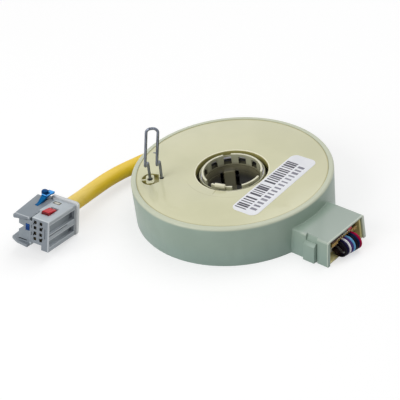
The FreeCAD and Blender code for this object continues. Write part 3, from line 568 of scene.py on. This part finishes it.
def ringFinish(look):
    finish = Finish("ringPlastic", look["rough"])
    place = finish.place()
    x, y, z = finish.split(place)
    # painted shade: darker lower down in the bore
    tone = finish.paint(moulded(finish, place, look), z.ramp(*look["shadeFrom"]), look["low"])
    # painted shade: a dark tone behind the windows, which lets them look deeper
    radius = (x ** 2 + y ** 2) ** 0.5
    behind = radius.ramp(*look["hollowRadius"]) * z.within(*look["hollowHeight"])
    tone = finish.paint(tone, behind, look["hollowShade"], look["hollowShare"])
    top = highCorner("input_ring")[2] - look["index"]   # the crown stands under the raised index
    # painted highlight: the top of the crown is painted paler, as lit
    deep, shallow = look["crownDepth"]
    tone = finish.paint(tone, z.ramp(top - deep, top - shallow), look["crown"], look["crownHighlightShare"])
    finish.colour(tone)
    return finish


def springFinish(look):
    # the upper turn catches the light, the lower one sits in the dark of the groove
    finish = Finish("springSteel", look["rough"], Metallic=look["metallic"])
    place = finish.place()
    x, y, z = finish.split(place)
    drawn = finish.noise(finish.stretch(place, look["stretch"]), look["size"])
    tone = finish.mix(drawn.ramp(*metalGrain["lines"]), srgb(*look["base"]), srgb(*look["patch"]))
    finish.colour(finish.paint(tone, z.ramp(*look["shadeFrom"]), look["low"]))
    finish.bump(drawn, look["proud"])
    return finish


def sleeveFinish(look):
    finish = Finish("sleevePlastic", look["rough"])
    place = finish.place()
    alongKey, acrossKey, z = finish.split(finish.place((0, 0, 0), (0, 0, look["keyTurn"])))
    # painted shade: darker towards the bottom of the bore
    tone = finish.paint(moulded(finish, place, look), z.ramp(*look["shadeFrom"]), look["low"])
    # painted highlight: the key finger's face below its top edge is painted lighter, as lit
    onKey = alongKey.ramp(*look["keyFrom"]) * acrossKey.within(*look["keySides"], 0.1)
    finish.colour(finish.paint(tone, onKey * z.ramp(*look["keyTop"]), look["key"]))
    return finish


dress("output_sleeve", sleeveFinish(sleeveLook), "output", bevel=0.1)
dress("input_ring", ringFinish(ringLook), "input", bevel=0.12)
targetMetal = metalFinish("targetSheet")
dress("output_target", targetMetal, "output")
dress("input_target", targetMetal, "input")
dress("grip_spring", springFinish(springLook), "input")
dress("lock_pin", metalFinish("pinSteel"), "pin")
print("turning parts and pin dressed")

# the tray, the board with its plated edge and the small parts on it
trayLook = {
    "base": (206, 202, 168), "patch": (196, 190, 152), "rough": 0.42, "patchSize": 12.0,
    "litLiner": (232, 220, 150), "linerFrom": (44.0, 47.0), "linerHeight": (0.05, 0.4),
    "web": {"side": (-5.6, 4.9), "thick": 0.12, "overlap": 0.3, "inset": 0.01},
}
boardLook = {
    "base": (86, 96, 58), "patch": (70, 74, 44), "rough": 0.34, "patchSize": 4.0,
    "weaveStretch": (1.0, 5.0, 1.0), "weaveSize": 0.6, "weave": (0.45, 0.65), "weaveShare": 0.15,
    "plate": (214, 176, 104), "plateDepth": (0.45, 0.25),
    "pads": {"start": (0.0, 0.0, 0.0), "Count": 15, "Pitch": 1.13, "Length": 0.7, "Thin": 0.62,
             "Wide": 0.7, "Height": 0.06, "Seed": 3},
    "padFirst": -7.69, "padInset": 0.8,
}
chipLook = {
    "base": (40, 38, 40), "patch": (52, 48, 50), "rough": 0.45, "patchSize": 1.5, "mouth": (50.0, 51.0),
    "tones": ((-9.0, -0.4, (86, 62, 58)), (-0.2, 2.5, (140, 152, 146)), (2.9, 6.0, (226, 70, 92))),
    "inMouth": ((-7.6, -1.2, 0.95), (-0.1, 2.4, 1.15), (3.0, 5.4, 1.1)), "inset": 0.6, "deep": 1.3,
    "sunk": 0.02,
}
combLook = {"base": (216, 214, 206), "patch": (200, 198, 188), "rough": 0.42, "patchSize": 6.0}


def boardFinish(look):
    finish = Finish("boardMask", look["rough"])
    place = finish.place()
    x, y, z = finish.split(place)
    end = highCorner("circuit_board")[0]
    tone = moulded(finish, place, look)
    weave = finish.noise(finish.stretch(place, look["weaveStretch"]), look["weaveSize"], 2.0)
    tone = finish.paint(tone, weave.ramp(*look["weave"]), look["plate"], look["weaveShare"])
    far, near = look["plateDepth"]
    finish.colour(finish.paint(tone, x.ramp(end - far, end - near), look["plate"]))
    return finish


def chipFinish(look):
    # the small parts at the mouth take colours of their own, from side to side, painted brighter to stand in
    # for light in the shade under the roof
    finish = Finish("chipBody", look["rough"])
    place = finish.place()
    x, y, z = finish.split(place)
    tone = moulded(finish, place, look)
    for low, high, colour in look["tones"]:
        tone = finish.paint(tone, x.ramp(*look["mouth"]) * y.within(low, high, 0.05), colour)
    finish.colour(tone)
    return finish


def trayFinish(look):
    finish = Finish("basePlastic", look["rough"])
    place = finish.place()
    x, y, z = finish.split(place)
    # painted light: the tray inside the mouth is painted brighter and warmer, as lit
    litLiner = x.ramp(*look["linerFrom"]) * z.ramp(*look["linerHeight"])
    finish.colour(finish.paint(moulded(finish, place, look), litLiner, look["litLiner"]))
    return finish


def addBlocks(mesh, blocks):
    # small blocks, each as its low and high corner in millimetres, joined into a mesh
    work = bmesh.new()
    work.from_mesh(mesh)
    for low, high in blocks:
        middle = (Vector(low) + Vector(high)) / 2 * mm
        size = (Vector(high) - Vector(low)) * mm
        bmesh.ops.create_cube(work, size=1, matrix=Matrix.Translation(middle) @ Matrix.Diagonal((*size, 1)))
    work.to_mesh(mesh)
    work.free()
    return mesh


def makeTray(look):
    # a thin web closes the notch of the tray's floor under the wires
    web = look["web"]
    low, high = web["side"]
    start = highCorner("wire_comb")[0] - web["overlap"]
    end = highCorner("base_plate")[0] - web["inset"]
    blocks = [((start, low, 0.0), (end, high, web["thick"]))]
    dress("base_plate", trayFinish(look), mesh=addBlocks(nodeCopy("base_plate"), blocks))


def makeBoard(look):
    dress("circuit_board", boardFinish(look), bevel=0.06)
    end, side, top = highCorner("circuit_board")
    gold = metalFinish("padGold")
    turn = (Matrix.Translation((end - look["padInset"], look["padFirst"], top))
            @ Matrix.Rotation(math.radians(90), 4, "Z"))
    addPiece("board.pads", stripMesh(look["pads"], gold, turn), gold, "housing", slotOf["circuit_board"])


def makeChips(look):
    # three low parts stand close behind the pads, where the mouth shows them
    end, side, top = highCorner("circuit_board")
    front = end - look["inset"]
    blocks = [((front - look["deep"], low, top - look["sunk"]), (front, high, top + tall))
              for low, high, tall in look["inMouth"]]
    dress("board_chips", chipFinish(look), mesh=addBlocks(nodeCopy("board_chips", 0.06), blocks))


makeTray(trayLook)
makeBoard(boardLook)
makeChips(chipLook)
dress("solder_joints", metalFinish("solderMetal"))
dress("wire_comb", plainPlastic("combPlastic", combLook), bevel=0.08)
print("board and tray dressed")

# eight jumper wires, each in its own sheath
wireColours = {
    "wire_black": (12, 10, 20), "wire_navy": (26, 20, 62), "wire_white": (250, 250, 252),
    "wire_violet": (78, 52, 122), "wire_light_blue": (118, 184, 232), "wire_black_second": (12, 14, 24),
    "wire_navy_second": (16, 26, 70), "wire_crimson": (186, 8, 70),
}
wireLook = {
    "rough": 0.46, "stretch": (0.3, 1.0, 0.3), "size": 0.5, "lines": (0.35, 0.7), "lineShare": 0.6,
    "dimmer": 0.78, "boxShade": (62, 46, 34), "boxShadeFrom": (-0.6, 1.2), "boxShadeHeight": (6.4, 5.6), "boxShadeShare": 0.8,
    "smoothest": 0.38, "dull": 0.16, "proud": 0.012,
}


def wireFinish(name, colour, look):
    finish = Finish(name + "Sheath", look["rough"], Specular_IOR_Level=0.08)
    place = finish.place()
    drawn = finish.noise(finish.stretch(place, look["stretch"]), look["size"])
    darker = [part * look["dimmer"] for part in colour]
    tone = finish.mix(drawn.ramp(*look["lines"]) * look["lineShare"], srgb(*colour), srgb(*darker))
    x, y, z = finish.split(place)
    # painted shade: inside the box the sheaths darken to a dim brown
    start, end = look["boxShadeFrom"]
    shadedInBox = x.ramp(mouthX - start, mouthX - end) * z.ramp(*look["boxShadeHeight"])
    finish.colour(finish.paint(tone, shadedInBox, look["boxShade"], look["boxShadeShare"]))
    finish.rough(drawn * look["dull"] + look["smoothest"])
    finish.bump(drawn, look["proud"])
    return finish


for nodeName, colour in wireColours.items():
    dress(nodeName, wireFinish(nodeName, colour, wireLook))
print("wires dressed:", len(wireColours))

# the cable, along the same points as the solid's
cableFacts = {
    "route": ((-48.00, 9.40, 5.80), (-51.40, -4.40, 5.95), (-53.70, -18.40, 6.60),
              (-53.30, -31.20, 7.00), (-50.54, -43.88, 8.92), (-48.68, -52.51, 10.69)),
    "radius": 3.4, "length": 63.3, "steps": 24, "roundSteps": 10,
    "rough": 0.36, "stretch": (1.0, 0.12, 1.0), "size": 1.6,
    "side": (250, 210, 50), "top": (255, 224, 118), "litTopFrom": (8.0, 12.0),
    "under": (214, 178, 0), "shadedUnderFrom": (6.6, 3.4),
    "streak": (222, 184, 24), "streaks": (0.45, 0.8), "streakShare": 0.3,
    "smoothest": 0.4, "dull": 0.14, "proud": 0.05,
}
grommetLook = {"base": (32, 32, 31), "patch": (44, 43, 41), "rough": 0.6, "patchSize": 4.0}


def sheathFinish(facts):
    finish = Finish("cableSheath", facts["rough"], Specular_IOR_Level=0.3)
    place = finish.place()
    x, y, z = finish.split(place)
    fine = finish.noise(finish.stretch(place, facts["stretch"]), facts["size"], 4.0)
    # painted light and shade: the top of the sheath paler, its underside darker
    tone = finish.mix(z.ramp(*facts["litTopFrom"]), srgb(*facts["side"]), srgb(*facts["top"]))
    tone = finish.paint(tone, z.ramp(*facts["shadedUnderFrom"]), facts["under"])
    finish.colour(finish.paint(tone, fine.ramp(*facts["streaks"]), facts["streak"], facts["streakShare"]))
    finish.rough(fine * facts["dull"] + facts["smoothest"])
    finish.bump(fine, facts["proud"], 0.6)
    return finish


def makeCable(facts):
    line = bpy.data.curves.new("cableSheath", "CURVE")
    line.dimensions = "3D"
    line.resolution_u = facts["steps"]
    line.bevel_depth = facts["radius"] * mm
    line.bevel_resolution = facts["roundSteps"]
    line.use_fill_caps = True
    spline = line.splines.new("NURBS")
    spline.points.add(len(facts["route"]) - 1)
    for point, place in zip(spline.points, facts["route"]):
        point.co = (*(value * mm for value in place), 1)
    spline.order_u = 3
    spline.use_endpoint_u = True
    cable = addObject("cableSheath", line)
    line.materials.append(sheathFinish(facts).material)
    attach(cable, "housing")
    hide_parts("cable")
    return cable


cable = makeCable(cableFacts)
dress("cable_grommet", plainPlastic("grommetRubber", grommetLook), bevel=0.1)
print("cable laid")

# the connector: every mark below is in its own frame, x to the right, y back from its front, z up
connectorLook = {
    "origin": (-38.68, -74.01, 4.75), "turn": (-11.4, 4.7, 11.2),
    "base": (192, 200, 206), "patch": (180, 189, 196), "rough": 0.4, "patchSize": 8.0, "bevel": 0.15,
    "plate": (136, 145, 153), "plateFrom": (-9.5, -9.9),
    "front": (133, 141, 149), "shadedFrontFrom": (0.12, 0.02), "shadedFrontTop": (13.9, 13.5),
    "side": (174, 181, 188), "sideFrom": (-0.12, -0.02),
    "hollowShade": (34, 35, 38), "hollowX": (-9.6, -1.65), "hollowY": (0.35, 12.5), "hollowZ": (2.0, 13.0),
    "shadedChannel": (168, 175, 183), "channelDepth": (-1.4, -0.25), "channelY": (0.8, 18.8),
    "channels": ((2.1, 5.2), (8.1, 12.2)), "deeperChannelShade": (112, 120, 128), "channelShadeFrom": (7.0, 18.0),
    "pocketShade": (128, 134, 142), "pocketX": (-2.4, -0.3), "pocketY": (16.0, 18.6),
    "slitX": (-1.4, -0.15), "slitY": (0.5, 13.9), "slitZ": (6.95, 7.7),
    "guideX": (-15.3, -11.0), "guideY": (0.3, 3.2), "guideSlots": ((1.85, 2.35), (11.45, 12.05)),
    "mark": (104, 100, 78), "markX": (-8.95, -5.5), "markY": (15.2, 17.5), "markFrom": (13.1, 13.4),
    "markFill": (214, 212, 200), "markLine": 0.5, "fillFrom": (13.85, 14.0),
    "edge": (222, 227, 231), "edgeShare": 0.55, "lineShare": 0.6,
    "lines": (((-9.4, 0.2), (-0.2, 0.32), (13.8, 14.4)), ((-0.34, 0.2), (-0.2, 17.6), (13.6, 14.4)),
              ((-0.5, 0.2), (-0.2, 0.3), (0.2, 13.9)), ((-17.5, -9.8), (-0.3, 0.3), (12.7, 13.6)),
              ((-0.1, 0.2), (0.4, 18.8), (12.25, 12.6)), ((-0.1, 0.2), (0.4, 18.8), (7.7, 8.05)),
              ((-0.1, 0.2), (0.4, 18.8), (5.25, 5.6)), ((-0.1, 0.2), (0.4, 18.8), (1.7, 2.05))),
}


def connectorFinish(look):
    finish = Finish("connectorPlastic", look["rough"])
    x, y, z = finish.split(finish.place(look["origin"], look["turn"]))
    tone = moulded(finish, finish.place(), look)

    def region(xs, ys, zs, soft=0.06):
        return x.within(*xs, soft) * y.within(*ys, soft) * z.within(*zs, soft)

    def paint(where, colourName):
        return finish.paint(tone, where, look[colourName])

    tone = paint(x.ramp(*look["plateFrom"]), "plate")
    # painted shade on the front face
    tone = paint(y.ramp(*look["shadedFrontFrom"]) * z.ramp(*look["shadedFrontTop"]), "front")
    # painted shade on the right side face
    tone = paint(x.ramp(*look["sideFrom"]), "side")
    # painted shade in the recessed channels, darker towards the flange, and in the pockets at their ends
    for zs in look["channels"]:
        inChannel = region(look["channelDepth"], look["channelY"], zs)
        tone = paint(inChannel, "shadedChannel")
        tone = paint(inChannel * y.ramp(*look["channelShadeFrom"]), "deeperChannelShade")
        tone = paint(region(look["pocketX"], look["pocketY"], zs), "pocketShade")
    # painted shade in the slit
    tone = paint(region(look["slitX"], look["slitY"], look["slitZ"]), "pocketShade")
    # painted shade in the guide slots and the cavities
    for zs in look["guideSlots"]:
        tone = paint(region(look["guideX"], look["guideY"], zs), "hollowShade")
    tone = paint(region(look["hollowX"], look["hollowY"], look["hollowZ"]), "hollowShade")
    # painted highlight: pale lines along the outer edges and ribs
    for xs, ys, zs in look["lines"]:
        tone = paint(region(xs, ys, zs) * look["lineShare"], "edge")
    # painted highlight on the rounded outer edges, kept off the cavities
    atCavities = x.within(*look["hollowX"]) * z.within(*look["hollowZ"])
    tone = finish.highlightEdges(tone, look["edge"], (1 - atCavities) * look["edgeShare"])
    # a framed mark on top: its frame first, then the field inside it
    (left, right), (near, far), line = look["markX"], look["markY"], look["markLine"]
    tone = paint(x.within(left, right) * y.within(near, far) * z.ramp(*look["markFrom"]), "mark")
    inside = x.within(left + line, right - line) * y.within(near + line, far - line)
    tone = paint(inside * z.ramp(*look["fillFrom"]), "markFill")
    finish.colour(tone)
    return finish


# small parts of the connector; a change of tone gives its axis in that frame, from, to and colour
partLook = {
    # button: painted shade on its front face, painted highlight on its rounded edges
    "button": {"base": (208, 18, 36), "patch": (188, 10, 24), "rough": 0.34, "patchSize": 3.0,
               "changes": ((1, 5.0, 4.75, (104, 0, 8)),), "shine": 0.3, "edge": (236, 110, 124)},
    # lever: painted shade on the plate between knob and rim, painted highlight on the rim tops and the
    # rounded edges
    "lever": {"base": (0, 104, 164), "patch": (0, 84, 138), "rough": 0.34, "patchSize": 3.0,
              "changes": ((2, 15.72, 15.76, (0, 40, 78)), (2, 15.84, 15.92, (80, 176, 255)),
                          (0, -15.1, -15.3, (0, 70, 122)), (2, 16.42, 16.5, (0, 78, 136))), "shine": 0.1,
              "edge": (110, 186, 244), "knob": (-15.45, 19.1, 1.72), "knobTop": (16.5, 16.42),
              "knobSide": (0, 62, 114)},
    # inner lock: painted highlight on its rounded edges
    "innerLock": {"base": (0, 58, 124), "patch": (0, 42, 96), "rough": 0.4, "patchSize": 3.0,
                  "changes": ((1, 2.0, 4.0, (2, 30, 64)),), "shine": 0.2, "edge": (40, 110, 190)},
    # back cover: its right side painted brighter, as lit; darker at the bottom; painted highlight on its
    # rounded edges
    "backCover": {"base": (214, 217, 218), "patch": (204, 207, 209), "rough": 0.38, "patchSize": 7.0,
                  "changes": ((2, 0.6, -0.4, (150, 154, 157)), (0, 0.1, 0.4, (248, 250, 250))), "shine": 0.5,
                  "edge": (240, 242, 244)},
}
partEdgeShare = 0.4


def partFinish(name):
    look = partLook[name]
    finish = Finish(name + "Plastic", look["rough"], Specular_IOR_Level=look["shine"])
    inFrame = finish.split(finish.place(connectorLook["origin"], connectorLook["turn"]))
    tone = moulded(finish, finish.place(), look)
    for axis, low, high, colour in look["changes"]:
        tone = finish.paint(tone, inFrame[axis].ramp(low, high), colour)
    if "knob" in look:
        x, y, z = inFrame
        knobX, knobY, reach = look["knob"]
        away = ((x - knobX) ** 2 + (y - knobY) ** 2) ** 0.5
        onSide = away.ramp(reach, reach - 0.1) * z.ramp(*look["knobTop"])
        tone = finish.paint(tone, onSide, look["knobSide"])
    # painted highlight on the rounded edges of each small part
    finish.colour(finish.highlightEdges(tone, look["edge"], partEdgeShare))
    return finish


# in the connector's frame: a wedge that widens up the arm, then outlines with their low and high
leverWing = {
    "wedge": ((-14.35, 12.2, 13.2), (-13.25, 12.2, 13.2), (-14.35, 12.2, 13.55), (-13.25, 12.2, 13.55),
              (-14.5, 16.4, 14.2), (-13.1, 16.4, 14.2), (-15.0, 15.9, 15.5), (-12.3, 15.65, 15.5)),
    "plate": (((-15.0, 15.9), (-12.25, 15.65), (-11.95, 20.9), (-14.6, 20.9)), 15.5, 15.8),
    "frontRim": (((-15.0, 15.9), (-12.25, 15.65), (-12.2, 16.25), (-14.97, 16.5)), 15.5, 16.1),
    "sideRim": (((-12.25, 15.65), (-11.95, 19.3), (-12.5, 19.3), (-12.8, 15.7)), 15.5, 16.1),
}
# the upper guide plate runs on behind the lever, beside the back cover
plateTail = (((-16.2, 18.9), (-12.7, 18.9), (-12.7, 21.4), (-15.4, 21.4)), 12.25, 13.33)


def upright(outline, low, high):
    return [(*corner, height) for corner in outline for height in (low, high)]


def withHulls(mesh, solids):
    # closed blocks with the given corners, in the connector's frame, joined into a mesh
    turn = Euler([math.radians(angle) for angle in connectorLook["turn"]]).to_matrix().to_4x4()
    toObject = Matrix.Scale(mm, 4) @ Matrix.Translation(connectorLook["origin"]) @ turn
    work = bmesh.new()
    work.from_mesh(mesh)
    for corners in solids:
        made = [work.verts.new(toObject @ Vector(corner)) for corner in corners]
        hull = bmesh.ops.convex_hull(work, input=made)
        faces = [item for item in hull["geom"] if isinstance(item, bmesh.types.BMFace)]
        bmesh.ops.recalc_face_normals(work, faces=faces)
    work.to_mesh(mesh)
    work.free()
    return mesh


shellMesh = withHulls(nodeCopy("connector_housing", connectorLook["bevel"]), [upright(*plateTail)])
leverSolids = [leverWing["wedge"]] + [upright(*leverWing[part]) for part in ("plate", "frontRim", "sideRim")]
leverMesh = withHulls(nodeCopy("connector_lever", 0.12), leverSolids)
onCable = [
    dress("connector_housing", connectorFinish(connectorLook), mesh=shellMesh),
    dress("connector_back_cover", partFinish("backCover"), bevel=0.15),
    dress("connector_button", partFinish("button"), "button", bevel=0.15),
    dress("connector_lever", partFinish("lever"), "lever", mesh=leverMesh),
    dress("connector_inner_lock", partFinish("innerLock"), bevel=0.15),
    dress("connector_contacts", metalFinish("contactMetal")),
]
print("connector dressed, pieces in all:", len(pieces) + 1)

studio = {
    "floor": 3.0, "paper": (0.6, 0.6, 0.6, 1), "paperSeen": (1.0, 1.0, 1.0, 1), "paperRough": 0.9,
    "glow": 1.14, "glowShare": 0.52, "world": 0.4,
    "lamps": {
        "topLamp": {"place": (0.06, 0.52, 1.0), "size": 0.9, "power": 4.25},
        "keyLamp": {"place": (-0.16, -0.74, 0.49), "size": 0.6, "power": 3.35},
    },
}


def seenDirectly(work):
    # 1 for what the camera, a reflection or a view through glass sees
    path = work.node("ShaderNodeLightPath").socket.node
    camera, glossy, through = [Link(work, path.outputs["Is %s Ray" % kind])
                               for kind in ("Camera", "Glossy", "Transmission")]
    return camera.most(glossy).most(through)


def makeFloor(facts):
    work = bmesh.new()
    bmesh.ops.create_grid(work, x_segments=1, y_segments=1, size=facts["floor"])
    mesh = bpy.data.meshes.new("floor")
    work.to_mesh(mesh)
    work.free()
    floor = addObject("floor", mesh)
    finish = Finish("floorPaper", facts["paperRough"])
    seen = seenDirectly(finish)
    finish.colour(finish.mix(seen, facts["paper"], facts["paperSeen"]))
    glow = finish.node("ShaderNodeEmission", {}, {"Strength": facts["glow"]})
    both = finish.node("ShaderNodeMixShader", {}, {0: seen * facts["glowShare"],
                                                   1: Link(finish, finish.surface.outputs[0]), 2: glow})
    finish.feed(finish.output.inputs[0], both)
    mesh.materials.append(finish.material)


def makeLights(facts):
    for name, lamp in facts["lamps"].items():
        data = bpy.data.lights.new(name, "AREA")
        data.size = lamp["size"]
        data.energy = lamp["power"]
        addObject(name, data).matrix_world = lookingAt((0, 0, 0), lamp["place"])
    world = bpy.data.worlds.new("studio")
    bpy.context.scene.world = world
    world.use_nodes = True
    work = NodeWork(world.node_tree)
    sky = world.node_tree.nodes["Background"]
    work.feed(sky.inputs["Color"], (1, 1, 1, 1))
    work.feed(sky.inputs["Strength"], seenDirectly(work) * (1 - facts["world"]) + facts["world"])
    bpy.context.scene.view_settings.view_transform = "Standard"


makeFloor(studio)
makeLights(studio)
print("studio lit")
